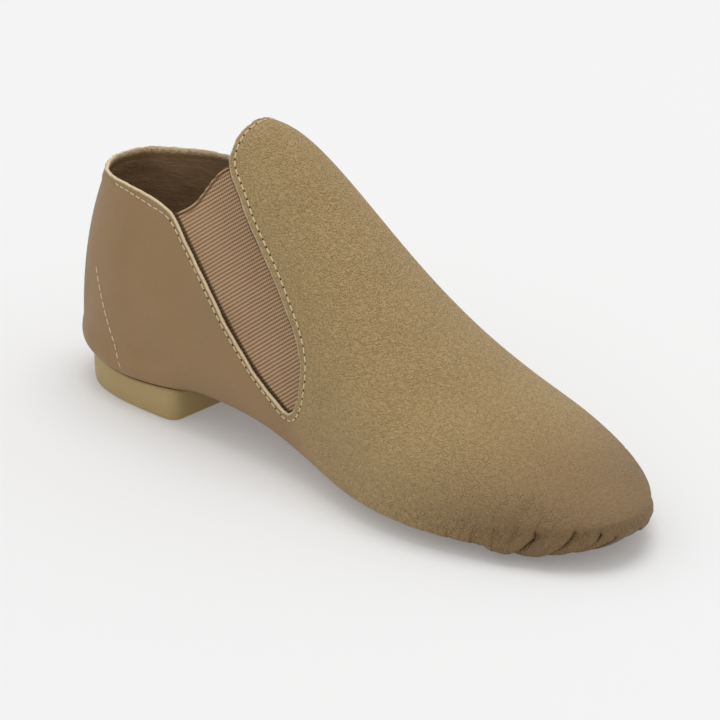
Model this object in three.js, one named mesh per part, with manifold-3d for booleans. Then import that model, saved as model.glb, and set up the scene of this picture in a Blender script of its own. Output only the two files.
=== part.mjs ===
// A slip-on jazz shoe with a split sole, for the left foot. Millimetres, +Z up, the toe towards +X,
// the inner side of the foot towards -Y. The shoe stands on z = 0 on its heel and its sole pad.
//
// One surface, the last, gives every piece its shape. A turn of 0 is the back of the heel and 1 or -1
// is the tip of the toe, round the left side (+Y) or the right side (-Y). A tilt of 0 is the widest
// line, 1 is the ridge over the foot and -1 is the middle of the underside.

import * as THREE from "three";
import { mergeVertices } from "three/addons/utils/BufferGeometryUtils.js";
import Module from "manifold-3d";

const wasm = await Module();
wasm.setup();

// Main sizes of the shoe
const LENGTH = 250;
const BALL_WIDTH = 84;
const WAIST_WIDTH = 62;
const HEEL_WIDTH = 61;
const TOE_WIDTH = 69;
const INSTEP_HEIGHT = 110;
const VAMP_HEIGHT = 56;
const TOE_HEIGHT = 38;
const COLLAR_HEIGHT = 80;
const SIDE_HEIGHT = 27;
const TOE_SIDE_HEIGHT = 14;
const TOE_SPRING = 6.6;

// Thickness of the materials, and the air between pieces that touch
const UPPER_WALL = 1.6;
const GORE_WALL = 1.2;
const INSOLE_THICKNESS = 1.8;
const SOLE_THICKNESS = 1.8;
const TAB_THICKNESS = 1.0;
const CLEARANCE = 0.3;

// The gore and the laps behind the leather's edges
const GORE_FOOT_HEIGHT = 23.5;
const GORE_LAP = 6;

// The sole pad under the forefoot, and the hole in the leather above it, as shares of the shoe's
// half width, where their sides start, and how far the round back end of the pad reaches behind that
const SOLE_SHARE = 0.72;
const SOLE_HOLE_SHARE = 0.5;
const SOLE_START = 0.57;
const SOLE_BULGE = 14;

// The heel block, and the hole in the leather above it
const HEEL_HEIGHT = 10.5;
const HEEL_FRONT = 62;
const HEEL_SHARE = 0.92;
const HEEL_HOLE_SHARE = 0.6;
const HEEL_HOLE_FRONT = 0.8;
const HEEL_TAPER = 0.985;
const HEEL_CORNER = 4;
const HEEL_BEVEL = 0.8;

// The insole's turned-up rim as a share of the height to the widest line, the back tab and the pleats
const INSOLE_RIM = 0.35;
const TAB_WIDTH = 13;
const TAB_HEIGHT = 10;
const PLEAT_DEPTH = 0.8;
const PLEAT_COUNT = 9;
const PLEAT_START = 0.62;

// Outline at the widest line. along: share of the length; right and left: the reach of each side from
// the x axis, as shares of the named width
const OUTLINE = [
  { along: 0.012, width: HEEL_WIDTH, right: 0.155, left: 0.205 },
  { along: 0.05, width: HEEL_WIDTH, right: 0.34, left: 0.31 },
  { along: 0.11, width: HEEL_WIDTH, right: 0.445, left: 0.43 },
  { along: 0.22, width: HEEL_WIDTH, right: 0.485, left: 0.53 },
  { along: 0.36, width: WAIST_WIDTH, right: 0.48, left: 0.52 },
  { along: 0.51, width: BALL_WIDTH, right: 0.405, left: 0.45 },
  { along: 0.64, width: BALL_WIDTH, right: 0.505, left: 0.49 },
  { along: 0.755, width: BALL_WIDTH, right: 0.52, left: 0.465 },
  { along: 0.87, width: TOE_WIDTH, right: 0.52, left: 0.485 },
  { along: 0.955, width: TOE_WIDTH, right: 0.365, left: 0.26 },
];
// The toe's tip lies off the x axis towards the right side, as a share of the toe's width
const TOE_TIP_SWAY = -0.08;

// Ridge over the foot. up: share of the named height
const RIDGE = [
  { along: 0.0, height: INSTEP_HEIGHT, up: 1.03 },
  { along: 0.14, height: INSTEP_HEIGHT, up: 1.04 },
  { along: 0.265, height: INSTEP_HEIGHT, up: 0.985 },
  { along: 0.334, height: INSTEP_HEIGHT, up: 0.99 },
  { along: 0.41, height: INSTEP_HEIGHT, up: 0.897 },
  { along: 0.51, height: INSTEP_HEIGHT, up: 0.69 },
  { along: 0.61, height: VAMP_HEIGHT, up: 1.01 },
  { along: 0.71, height: VAMP_HEIGHT, up: 0.807 },
  { along: 0.8, height: TOE_HEIGHT, up: 1.005 },
  { along: 0.9, height: TOE_HEIGHT, up: 0.723 },
  { along: 1.0, height: TOE_HEIGHT, up: 0.59 },
];

// Height of the widest line. up: share of the named height
const WIDEST = [
  { along: 0.0, height: SIDE_HEIGHT, up: 0.97 },
  { along: 0.22, height: SIDE_HEIGHT, up: 0.88 },
  { along: 0.41, height: SIDE_HEIGHT, up: 1.04 },
  { along: 0.61, height: TOE_SIDE_HEIGHT, up: 1.29 },
  { along: 0.8, height: TOE_SIDE_HEIGHT, up: 0.985 },
  { along: 0.9, height: TOE_SIDE_HEIGHT, up: 0.915 },
  { along: 1.0, height: TOE_SIDE_HEIGHT, up: 1.155 },
];

// Underside of the leather. base: what it stands on there; lift: share of the toe spring
const SEAT = HEEL_HEIGHT + CLEARANCE;
const TREAD = SOLE_THICKNESS + CLEARANCE;
const UNDERSIDE = [
  { along: 0.0, base: SEAT, lift: 0 },
  { along: 0.14, base: SEAT, lift: 0 },
  { along: 0.25, base: SEAT, lift: 0 },
  { along: 0.41, base: (SEAT + TREAD) / 2, lift: 0 },
  { along: 0.56, base: TREAD, lift: 0 },
  { along: 0.66, base: TREAD, lift: 0 },
  { along: 0.8, base: TREAD, lift: 0 },
  { along: 0.9, base: TREAD, lift: 0.235 },
  { along: 1.0, base: TREAD, lift: 1.0 },
];

// Fullness of the cross sections above and below the widest line: 2 is an ellipse, more is squarer
const FULLNESS_ABOVE = [
  { along: 0.0, power: 2.07 },
  { along: 0.31, power: 2.0 },
  { along: 0.55, power: 2.07 },
  { along: 1.0, power: 1.93 },
];
const FULLNESS_BELOW = [
  { along: 0.0, power: 4.5 },
  { along: 0.25, power: 4.5 },
  { along: 0.45, power: 3.5 },
  { along: 0.66, power: 5.1 },
  { along: 1.0, power: 3.6 },
];

// Edges of the opening in side view. along: share of the length; up: share of the named height
const TOPLINE = [
  { along: -0.2, height: COLLAR_HEIGHT, up: 0.975 },
  { along: 0.0, height: COLLAR_HEIGHT, up: 0.975 },
  { along: 0.07, height: COLLAR_HEIGHT, up: 0.985 },
  { along: 0.139, height: COLLAR_HEIGHT, up: 1.0 },
  { along: 0.23, height: COLLAR_HEIGHT, up: 0.952 },
];
const QUARTER_EDGE = [
  { along: 0.23, height: COLLAR_HEIGHT, up: 0.952 },
  { along: 0.327, height: COLLAR_HEIGHT, up: 0.642 },
  { along: 0.463, height: GORE_FOOT_HEIGHT, up: 1.13 },
];
const GORE_FOOT = [
  { along: 0.463, height: GORE_FOOT_HEIGHT, up: 1.13 },
  { along: 0.481, height: GORE_FOOT_HEIGHT, up: 1.0 },
  { along: 0.493, height: GORE_FOOT_HEIGHT, up: 1.26 },
];
const VAMP_EDGE = [
  { along: 0.493, height: GORE_FOOT_HEIGHT, up: 1.26 },
  { along: 0.498, height: INSTEP_HEIGHT, up: 0.37 },
  { along: 0.383, height: INSTEP_HEIGHT, up: 0.7 },
  { along: 0.307, height: INSTEP_HEIGHT, up: 0.883 },
];
const TONGUE_EDGE = [
  { along: 0.307, height: INSTEP_HEIGHT, up: 0.883 },
  { along: 0.301, height: INSTEP_HEIGHT, up: 0.94 },
  { along: 0.304, height: INSTEP_HEIGHT, up: 0.975 },
  { along: 0.312, height: INSTEP_HEIGHT, up: 1.02 },
];
const GORE_TOP = [
  { along: 0.23, height: COLLAR_HEIGHT, up: 0.952 },
  { along: 0.248, height: COLLAR_HEIGHT, up: 0.99 },
  { along: 0.307, height: INSTEP_HEIGHT, up: 0.883 },
];

// The spine that the ribs start from runs between these shares of the length
const SPINE_START = 0.22;
const SPINE_END = 0.865;
const SPINE_EASE = 0.05;
const SPINE_SWAY = [
  { along: 0.0, sway: 0.0 },
  { along: 0.3, sway: 0.0 },
  { along: 0.6, sway: 0.25 },
  { along: 0.85, sway: 0.7 },
  { along: 1.0, sway: 1.0 },
];

// Fineness of the faceted surfaces
const FINE = { heelColumns: 24, toeColumns: 34, rowsBelow: 7, rowsAbove: 9 };
const COARSE = { heelColumns: 24, toeColumns: 16, rowsBelow: 6, rowsAbove: 9 };
const TOE_SHARE = 0.58;
const CURVE_STEPS = 14;
const ROUND_STEPS = 12;
const STEP = 0.001;
const MERGE = 0.0001;
const BEYOND = 40;

// Natural cubic spline through points of x and y
function spline(points) {
  const last = points.length - 1;
  const bend = new Array(last + 1).fill(0);
  const carry = [0];
  const value = [0];
  for (let i = 1; i < last; i += 1) {
    const before = points[i].x - points[i - 1].x;
    const after = points[i + 1].x - points[i].x;
    const rise = (points[i + 1].y - points[i].y) / after - (points[i].y - points[i - 1].y) / before;
    const pivot = 2 * (before + after) - before * carry[i - 1];
    carry[i] = after / pivot;
    value[i] = (6 * rise - before * value[i - 1]) / pivot;
  }
  for (let i = last - 1; i > 0; i -= 1) {
    bend[i] = value[i] - carry[i] * bend[i + 1];
  }
  return (at) => {
    const x = Math.min(Math.max(at, points[0].x), points[last].x);
    let i = 0;
    while (i < last - 1 && x > points[i + 1].x) {
      i += 1;
    }
    const span = points[i + 1].x - points[i].x;
    const a = (points[i + 1].x - x) / span;
    const b = 1 - a;
    const curved = (a ** 3 - a) * bend[i] + (b ** 3 - b) * bend[i + 1];
    return a * points[i].y + b * points[i + 1].y + curved * span * span / 6;
  };
}

// Smooth 2D curve through points, at even steps of its chord
function curveThrough(points, steps) {
  const reach = [0];
  for (let i = 1; i < points.length; i += 1) {
    reach.push(reach[i - 1] + points[i].distanceTo(points[i - 1]));
  }
  const alongX = spline(points.map((point, i) => ({ x: reach[i], y: point.x })));
  const alongY = spline(points.map((point, i) => ({ x: reach[i], y: point.y })));
  const result = [];
  for (let i = 0; i <= steps; i += 1) {
    const at = reach[reach.length - 1] * i / steps;
    result.push(new THREE.Vector2(alongX(at), alongY(at)));
  }
  return result;
}

// Curve in side view through a table's rows
function sideCurve(rows, steps = CURVE_STEPS) {
  return curveThrough(rows.map((row) => new THREE.Vector2(row.along * LENGTH, row.up * row.height)), steps);
}

function smoothStep(value) {
  const t = Math.min(Math.max(value, 0), 1);
  return t * t * (3 - 2 * t);
}

// Zero below -ease, the value itself above ease, and a smooth bend between
function softRamp(value, ease) {
  if (value <= -ease) {
    return 0;
  }
  return value >= ease ? value : (value + ease) ** 2 / (4 * ease);
}

// A share of the length as a turn from the heel to the toe, finest at both ends
function turnOf(along) {
  return Math.acos(1 - 2 * along) / Math.PI;
}

function reachOf(side, sign) {
  const rows = OUTLINE.map((row) => ({ x: turnOf(row.along), y: sign * row[side] * row.width }));
  return spline([{ x: 0, y: 0 }, ...rows, { x: 1, y: TOE_TIP_SWAY * TOE_WIDTH }]);
}

const rightReach = reachOf("right", -1);
const leftReach = reachOf("left", 1);
const ridgeHeight = spline(RIDGE.map((row) => ({ x: row.along, y: row.up * row.height })));
const widestHeight = spline(WIDEST.map((row) => ({ x: row.along, y: row.up * row.height })));
const undersideHeight = spline(UNDERSIDE.map((row) => ({ x: row.along, y: row.base + row.lift * TOE_SPRING })));
const fullnessAbove = spline(FULLNESS_ABOVE.map((row) => ({ x: row.along, y: row.power })));
const fullnessBelow = spline(FULLNESS_BELOW.map((row) => ({ x: row.along, y: row.power })));
const spineSway = spline(SPINE_SWAY.map((row) => ({ x: row.along, y: row.sway * TOE_TIP_SWAY * TOE_WIDTH })));

// Share of the length where the rib that ends at the given share starts on the spine
function spineStart(along) {
  if (along >= SPINE_END + SPINE_EASE) {
    return SPINE_END;
  }
  return SPINE_START + softRamp(along - SPINE_START, SPINE_EASE) - softRamp(along - SPINE_END, SPINE_EASE);
}

function ribAt(turn) {
  let around = turn;
  if (turn > 1) {
    around = turn - 2;
  }
  const share = Math.abs(around);
  const along = (1 - Math.cos(Math.PI * share)) / 2;
  const start = spineStart(along);
  const reach = around < 0 ? rightReach(share) : leftReach(share);
  return { along, reach, start, sway: spineSway(start) };
}

// Place on a rib seen from above, out: 0 on the spine to 1 at the outline
function ribPlace(rib, out) {
  const along = rib.start + (rib.along - rib.start) * out;
  return new THREE.Vector2(along * LENGTH, rib.sway + (rib.reach - rib.sway) * out);
}

// Point of the last
function lastPoint(turn, tilt) {
  const rib = ribAt(turn);
  const angle = Math.abs(tilt) * Math.PI / 2;
  const power = tilt < 0 ? fullnessBelow(rib.along) : fullnessAbove(rib.along);
  const out = Math.abs(tilt) === 1 ? 0 : Math.cos(angle) ** (2 / power);
  const rise = Math.sin(angle) ** (2 / power);
  const widest = widestHeight(rib.along);
  const place = ribPlace(rib, out);
  const edge = tilt < 0 ? undersideHeight(place.x / LENGTH) : ridgeHeight(place.x / LENGTH);
  return new THREE.Vector3(place.x, place.y, widest + (edge - widest) * rise);
}

function lastNormal(turn, tilt) {
  if (Math.abs(tilt) === 1) {
    const height = tilt < 0 ? undersideHeight : ridgeHeight;
    const start = ribAt(turn).start;
    const slope = (height(start + STEP) - height(start - STEP)) / (2 * STEP * LENGTH);
    return new THREE.Vector3(-slope, 0, 1).multiplyScalar(tilt).normalize();
  }
  const turned = lastPoint(turn + STEP, tilt).sub(lastPoint(turn - STEP, tilt));
  const tilted = lastPoint(turn, tilt + STEP).sub(lastPoint(turn, tilt - STEP));
  return tilted.cross(turned).normalize();
}

// Height of the soft pleats where the leather is gathered round the forefoot
function pleatHeight(turn, tilt) {
  const along = (Math.abs(turn) - PLEAT_START) / (1 - PLEAT_START);
  if (along <= 0 || tilt >= 0) {
    return 0;
  }
  const band = Math.sin(Math.PI * Math.min(1, -tilt * 1.1)) ** 2;
  return PLEAT_DEPTH * smoothStep(along * 4) * band * Math.cos(2 * Math.PI * PLEAT_COUNT * along);
}

function shellPoint(turn, tilt, offset, pleated) {
  const lift = pleated ? pleatHeight(turn, tilt) : 0;
  return lastPoint(turn, tilt).addScaledVector(lastNormal(turn, tilt), offset + lift);
}

// Turns right round the outline, and tilts from the underside to the ridge
function turnsOf(grid) {
  const half = [];
  for (let i = 0; i < grid.heelColumns; i += 1) {
    half.push(TOE_SHARE * i / grid.heelColumns);
  }
  for (let i = 0; i <= grid.toeColumns; i += 1) {
    half.push(TOE_SHARE + (1 - TOE_SHARE) * i / grid.toeColumns);
  }
  const left = half.slice(1);
  const right = left.slice(0, -1).map((turn) => -turn).reverse();
  return [...right, 0, ...left];
}

function tiltsOf(grid) {
  const tilts = [];
  for (let i = -grid.rowsBelow; i < 0; i += 1) {
    tilts.push(i / grid.rowsBelow);
  }
  for (let i = 0; i <= grid.rowsAbove; i += 1) {
    tilts.push(i / grid.rowsAbove);
  }
  return tilts;
}

// A closed mesh as a solid, its shared vertices merged and its empty triangles dropped
function solidOf(geometry) {
  const bare = new THREE.BufferGeometry();
  bare.setAttribute("position", geometry.getAttribute("position"));
  bare.setIndex(geometry.getIndex());
  const merged = mergeVertices(bare, MERGE);
  const index = merged.getIndex().array;
  const kept = [];
  for (let i = 0; i < index.length; i += 3) {
    const [a, b, c] = [index[i], index[i + 1], index[i + 2]];
    if (a !== b && b !== c && c !== a) {
      kept.push(a, b, c);
    }
  }
  const vertProperties = new Float32Array(merged.getAttribute("position").array);
  return new wasm.Manifold(new wasm.Mesh({ numProp: 3, vertProperties, triVerts: new Uint32Array(kept) }));
}

// The last grown or shrunk by an offset, as a closed solid
function lastSolid(offset, grid, pleated = false) {
  const turns = turnsOf(grid);
  const tilts = tiltsOf(grid);
  const positions = [];
  for (const turn of turns) {
    for (const tilt of tilts) {
      positions.push(...shellPoint(turn, tilt, offset, pleated).toArray());
    }
  }
  const index = [];
  for (let i = 0; i < turns.length; i += 1) {
    const next = (i + 1) % turns.length;
    for (let j = 0; j < tilts.length - 1; j += 1) {
      const a = i * tilts.length + j;
      const b = next * tilts.length + j;
      index.push(a, b + 1, b, a, a + 1, b + 1);
    }
  }
  const geometry = new THREE.BufferGeometry();
  geometry.setAttribute("position", new THREE.Float32BufferAttribute(positions, 3));
  geometry.setIndex(index);
  return solidOf(geometry);
}

// An outline in side view, carried right across the shoe
function sidePrism(outline) {
  const geometry = new THREE.ExtrudeGeometry(new THREE.Shape(outline), { depth: 2 * BALL_WIDTH, bevelEnabled: false });
  geometry.rotateX(Math.PI / 2);
  geometry.translate(0, BALL_WIDTH, 0);
  return solidOf(geometry);
}

// An outline seen from above, carried from one height to another
function planPrism(outline, low, high) {
  const geometry = new THREE.ExtrudeGeometry(new THREE.Shape(outline), { depth: high - low, bevelEnabled: false });
  geometry.translate(0, 0, low);
  return solidOf(geometry);
}

// A stack of level rings with the same number of points, closed at both ends
function stackSolid(rings) {
  const positions = rings.flatMap((ring) => ring.points.flatMap((point) => [point.x, point.y, ring.height]));
  const count = rings[0].points.length;
  const index = [];
  for (let level = 0; level < rings.length - 1; level += 1) {
    for (let i = 0; i < count; i += 1) {
      const a = level * count + i;
      const b = level * count + (i + 1) % count;
      index.push(a, b, b + count, a, b + count, a + count);
    }
  }
  const cap = THREE.ShapeUtils.triangulateShape(rings[0].points, []);
  const top = (rings.length - 1) * count;
  for (const [a, b, c] of cap) {
    index.push(a, c, b, top + a, top + b, top + c);
  }
  const geometry = new THREE.BufferGeometry();
  geometry.setAttribute("position", new THREE.Float32BufferAttribute(positions, 3));
  geometry.setIndex(index);
  return solidOf(geometry);
}

function joined(...curves) {
  return curves.flatMap((curve, i) => (i === 0 ? curve : curve.slice(1)));
}

// The outline seen from above, drawn in to a share of the ribs, from one turn to another
function ribOutline(share, from, to, steps) {
  const points = [];
  for (let i = 0; i <= steps; i += 1) {
    points.push(ribPlace(ribAt(from + (to - from) * i / steps), share));
  }
  return points;
}

// Everything above the topline and inside the edges of the two gore cut-outs
function openingPrism() {
  const top = 2 * INSTEP_HEIGHT;
  const edge = joined(
    sideCurve(TOPLINE),
    sideCurve(QUARTER_EDGE),
    sideCurve(GORE_FOOT, CURVE_STEPS / 2),
    sideCurve(VAMP_EDGE),
    sideCurve(TONGUE_EDGE),
  );
  const ends = [new THREE.Vector2(edge[edge.length - 1].x, top), new THREE.Vector2(edge[0].x, top)];
  return sidePrism([...edge, ...ends]);
}

// Outline of the sole pad, from above: the forefoot's outline drawn in, with a round back end
function soleOutline(share, start, bulge) {
  const from = turnOf(start);
  const sides = ribOutline(share, from, 2 - from, 40);
  const middle = sides[0].clone().add(sides[sides.length - 1]).multiplyScalar(0.5);
  const half = sides[sides.length - 1].clone().sub(middle);
  const round = [];
  for (let i = 1; i < ROUND_STEPS; i += 1) {
    const angle = Math.PI * i / ROUND_STEPS;
    const place = half.clone().multiplyScalar(Math.cos(angle)).add(middle);
    place.x -= bulge * Math.sin(angle);
    round.push(place);
  }
  return [...sides, ...round];
}

// The turn on one side where the drawn-in outline passes a place along the shoe
function turnWhere(share, x, sign) {
  let [low, high] = [0, TOE_SHARE];
  while (high - low > STEP * STEP) {
    const middle = (low + high) / 2;
    const passed = ribPlace(ribAt(sign * middle), share).x > x;
    [low, high] = passed ? [low, middle] : [middle, high];
  }
  return sign * low;
}

// Outline of the heel block, from above: the heel's outline drawn in and cut straight across, with
// two rounded front corners
function heelOutline(share, front, corner) {
  const back = front - corner;
  const round = ribOutline(share, turnWhere(share, back, -1), turnWhere(share, back, 1), 32);
  const bend = (from, sign) => {
    const points = [];
    for (let i = 1; i <= 5; i += 1) {
      const angle = Math.PI / 2 * i / 5;
      const y = from.y - sign * corner * (1 - Math.cos(angle));
      points.push(new THREE.Vector2(back + corner * Math.sin(angle), y));
    }
    return points;
  };
  return [...round, ...bend(round[round.length - 1], 1), ...bend(round[0], -1).reverse()].reverse();
}

const opening = openingPrism();
const innerLast = lastSolid(-UPPER_WALL, COARSE);
const outerLast = lastSolid(0, FINE, true);
const seatLast = lastSolid(CLEARANCE, FINE, true);

function makeUpper() {
  const forefoot = planPrism(soleOutline(SOLE_HOLE_SHARE, SOLE_START, SOLE_BULGE / 2), -BEYOND, TOE_SIDE_HEIGHT);
  const seat = planPrism(heelOutline(HEEL_HOLE_SHARE, HEEL_FRONT * HEEL_HOLE_FRONT, HEEL_CORNER), -BEYOND, SIDE_HEIGHT / 2);
  return outerLast.subtract(innerLast).subtract(opening).subtract(forefoot).subtract(seat);
}

// Half of the space of the shoe, on one side of its middle
function halfSpace(sign) {
  const reach = sign * 2 * BALL_WIDTH;
  const corners = [
    new THREE.Vector2(-LENGTH, 0),
    new THREE.Vector2(2 * LENGTH, 0),
    new THREE.Vector2(2 * LENGTH, reach),
    new THREE.Vector2(-LENGTH, reach),
  ];
  return planPrism(corners, -BEYOND, 2 * INSTEP_HEIGHT);
}

// A curve in side view moved off to its left by a distance
function shifted(curve, distance) {
  return curve.map((point, i) => {
    const before = curve[Math.max(i - 1, 0)];
    const after = curve[Math.min(i + 1, curve.length - 1)];
    const ahead = after.clone().sub(before).normalize();
    return new THREE.Vector2(point.x - ahead.y * distance, point.y + ahead.x * distance);
  });
}

// The elastic of one side: it fills the cut-out and laps behind the leather's edges
function goreOutline() {
  const sides = joined(sideCurve(QUARTER_EDGE), sideCurve(GORE_FOOT, CURVE_STEPS / 2), sideCurve(VAMP_EDGE));
  const lapped = shifted(sides, -GORE_LAP);
  const top = sideCurve(GORE_TOP);
  return [...lapped, ...top.reverse()];
}

function makeGores() {
  const outside = -UPPER_WALL - CLEARANCE;
  const shell = lastSolid(outside, COARSE).subtract(lastSolid(outside - GORE_WALL, COARSE));
  const both = shell.intersect(sidePrism(goreOutline()));
  return { right: both.intersect(halfSpace(-1)), left: both.intersect(halfSpace(1)) };
}

// Sock inside the shoe, on the leather's turned-in margin, its rim turned up a little
function makeInsole() {
  const outside = -UPPER_WALL - CLEARANCE;
  const shell = lastSolid(outside, COARSE).subtract(lastSolid(outside - INSOLE_THICKNESS, COARSE));
  const rim = [];
  const steps = 30;
  for (let i = 0; i <= steps; i += 1) {
    const along = i / steps;
    const low = undersideHeight(along);
    rim.push(new THREE.Vector2(along * LENGTH, low + UPPER_WALL + (widestHeight(along) - low) * INSOLE_RIM));
  }
  const below = [new THREE.Vector2(LENGTH, -BEYOND), new THREE.Vector2(0, -BEYOND)];
  return shell.intersect(sidePrism([...rim, ...below]));
}

// Thin suede-faced pad under the forefoot, flat on the floor and turned up with the toe
function makeSolePad() {
  const outline = soleOutline(SOLE_SHARE, SOLE_START, SOLE_BULGE);
  const block = planPrism(outline, 0, TOE_SIDE_HEIGHT);
  const tread = [];
  const steps = 30;
  for (let i = 0; i <= steps; i += 1) {
    const along = SOLE_START - 0.1 + (1.1 - SOLE_START) * i / steps;
    tread.push(new THREE.Vector2(along * LENGTH, Math.max(0, undersideHeight(along) - TREAD)));
  }
  const above = [new THREE.Vector2(LENGTH, BEYOND), new THREE.Vector2(tread[0].x, BEYOND)];
  return block.intersect(sidePrism([...tread, ...above])).subtract(seatLast);
}

function makeHeel() {
  const top = heelOutline(HEEL_SHARE, HEEL_FRONT, HEEL_CORNER);
  const centre = new THREE.Vector2(HEEL_FRONT / 2, 0);
  const drawnIn = (share) => top.map((point) => point.clone().sub(centre).multiplyScalar(share).add(centre));
  const block = stackSolid([
    { points: drawnIn(HEEL_TAPER - 2 * HEEL_BEVEL / HEEL_FRONT), height: 0 },
    { points: drawnIn(HEEL_TAPER), height: HEEL_BEVEL },
    { points: top, height: HEEL_HEIGHT },
    { points: top, height: SIDE_HEIGHT },
  ]);
  return block.subtract(seatLast);
}

// Small leather patch over the top of the back seam
function makeBackTab() {
  const shell = lastSolid(CLEARANCE + TAB_THICKNESS, COARSE).subtract(lastSolid(CLEARANCE, FINE));
  const low = COLLAR_HEIGHT * TOPLINE[0].up - TAB_HEIGHT;
  const outline = [
    new THREE.Vector2(-BEYOND, -TAB_WIDTH / 2),
    new THREE.Vector2(HEEL_FRONT / 2, -TAB_WIDTH / 2),
    new THREE.Vector2(HEEL_FRONT / 2, TAB_WIDTH / 2),
    new THREE.Vector2(-BEYOND, TAB_WIDTH / 2),
  ];
  return shell.intersect(planPrism(outline, low, INSTEP_HEIGHT)).subtract(opening);
}

const gores = makeGores();

// Each piece with its solid, colour, roughness
const PIECES = [
  { name: "upper", solid: makeUpper(), color: "#a68a63", roughness: 0.6 },
  { name: "gore_right", solid: gores.right, color: "#97795a", roughness: 0.9 },
  { name: "gore_left", solid: gores.left, color: "#97795a", roughness: 0.9 },
  { name: "insole", solid: makeInsole(), color: "#4f4232", roughness: 0.95 },
  { name: "sole_pad", solid: makeSolePad(), color: "#8a7458", roughness: 0.95 },
  { name: "heel", solid: makeHeel(), color: "#a08a5f", roughness: 0.7 },
  { name: "back_tab", solid: makeBackTab(), color: "#a68a63", roughness: 0.6 },
];

function geometryOf(solid) {
  const mesh = solid.getMesh();
  const geometry = new THREE.BufferGeometry();
  geometry.setAttribute("position", new THREE.BufferAttribute(mesh.vertProperties, 3));
  geometry.setIndex(new THREE.BufferAttribute(mesh.triVerts, 1));
  geometry.computeVertexNormals();
  return geometry;
}

// The shoe's origin is on the floor under the middle of its length and width
const shoe = new THREE.Group();
for (const piece of PIECES) {
  const finish = new THREE.MeshStandardMaterial({ color: piece.color, roughness: piece.roughness, metalness: 0 });
  const mesh = new THREE.Mesh(geometryOf(piece.solid), finish);
  mesh.name = piece.name;
  shoe.add(mesh);
}
const box = new THREE.Box3().setFromObject(shoe);
shoe.position.set(-(box.min.x + box.max.x) / 2, -(box.min.y + box.max.y) / 2, 0);

export default shoe;
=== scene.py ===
import math

import bmesh
import bpy
import numpy as np
from mathutils import Matrix, Vector
from mathutils.bvhtree import BVHTree
from mathutils.kdtree import KDTree


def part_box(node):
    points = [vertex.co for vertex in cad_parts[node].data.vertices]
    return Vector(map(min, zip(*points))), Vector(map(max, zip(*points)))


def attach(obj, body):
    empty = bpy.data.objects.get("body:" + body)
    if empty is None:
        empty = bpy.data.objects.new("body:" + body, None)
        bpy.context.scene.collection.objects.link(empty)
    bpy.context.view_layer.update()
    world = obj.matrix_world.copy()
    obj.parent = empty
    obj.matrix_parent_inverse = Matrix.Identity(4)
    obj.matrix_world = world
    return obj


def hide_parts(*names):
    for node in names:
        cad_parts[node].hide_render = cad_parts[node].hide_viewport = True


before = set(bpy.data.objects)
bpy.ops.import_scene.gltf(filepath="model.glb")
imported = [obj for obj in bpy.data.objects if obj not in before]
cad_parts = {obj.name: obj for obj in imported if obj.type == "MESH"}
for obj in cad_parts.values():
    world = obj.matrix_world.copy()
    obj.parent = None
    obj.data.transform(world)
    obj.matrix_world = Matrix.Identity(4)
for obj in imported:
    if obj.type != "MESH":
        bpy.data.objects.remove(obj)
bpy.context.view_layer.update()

# Sizes below are millimetres of a shoe this long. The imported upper's own length gives the true millimetre.
SHOE = 250
MIDDLE = SHOE / 2
upper_low, upper_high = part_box("upper")
MM = (upper_high.x - upper_low.x) / SHOE

# The last's tables, a row for each section: share of the length from the heel, then the size there
RIGHT_REACH = [
    (0.012, -9.5), (0.05, -20.7), (0.11, -27.1), (0.22, -29.6), (0.36, -29.8), (0.51, -34.0), (0.64, -42.4),
    (0.755, -43.7), (0.87, -35.9), (0.955, -25.2),
]
LEFT_REACH = [
    (0.012, 12.5), (0.05, 18.9), (0.11, 26.2), (0.22, 32.3), (0.36, 32.2), (0.51, 37.8), (0.64, 41.2),
    (0.755, 39.1), (0.87, 33.5), (0.955, 17.9),
]
TIP_SWAY = -5.52
RIDGE = [
    (0.0, 113.3), (0.14, 114.4), (0.265, 108.4), (0.334, 108.9), (0.41, 98.7), (0.51, 75.9), (0.61, 56.6),
    (0.71, 45.2), (0.8, 38.2), (0.9, 27.5), (1.0, 22.4),
]
WIDEST = [(0.0, 26.2), (0.22, 23.8), (0.41, 28.1), (0.61, 18.1), (0.8, 13.8), (0.9, 12.8), (1.0, 16.2)]
TREAD = 2.1
UNDERSIDE = [
    (0.0, 10.8), (0.14, 10.8), (0.25, 10.8), (0.41, 6.45), (0.56, TREAD), (0.66, TREAD), (0.8, TREAD),
    (0.9, 3.65), (1.0, 8.7),
]
# Fullness of the cross sections: 2 is an ellipse, more is squarer
FULLNESS_ABOVE = [(0.0, 2.07), (0.31, 2.0), (0.55, 2.07), (1.0, 1.93)]
FULLNESS_BELOW = [(0.0, 4.5), (0.25, 4.5), (0.45, 3.5), (0.66, 5.1), (1.0, 3.6)]
# The spine is the middle line that the last's ribs start from
SPINE_SWAY = [(0.0, 0.0), (0.3, 0.0), (0.6, -1.38), (0.85, -3.86), (1.0, TIP_SWAY)]
SPINE_START, SPINE_END, SPINE_EASE = 0.22, 0.865, 0.05

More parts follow.
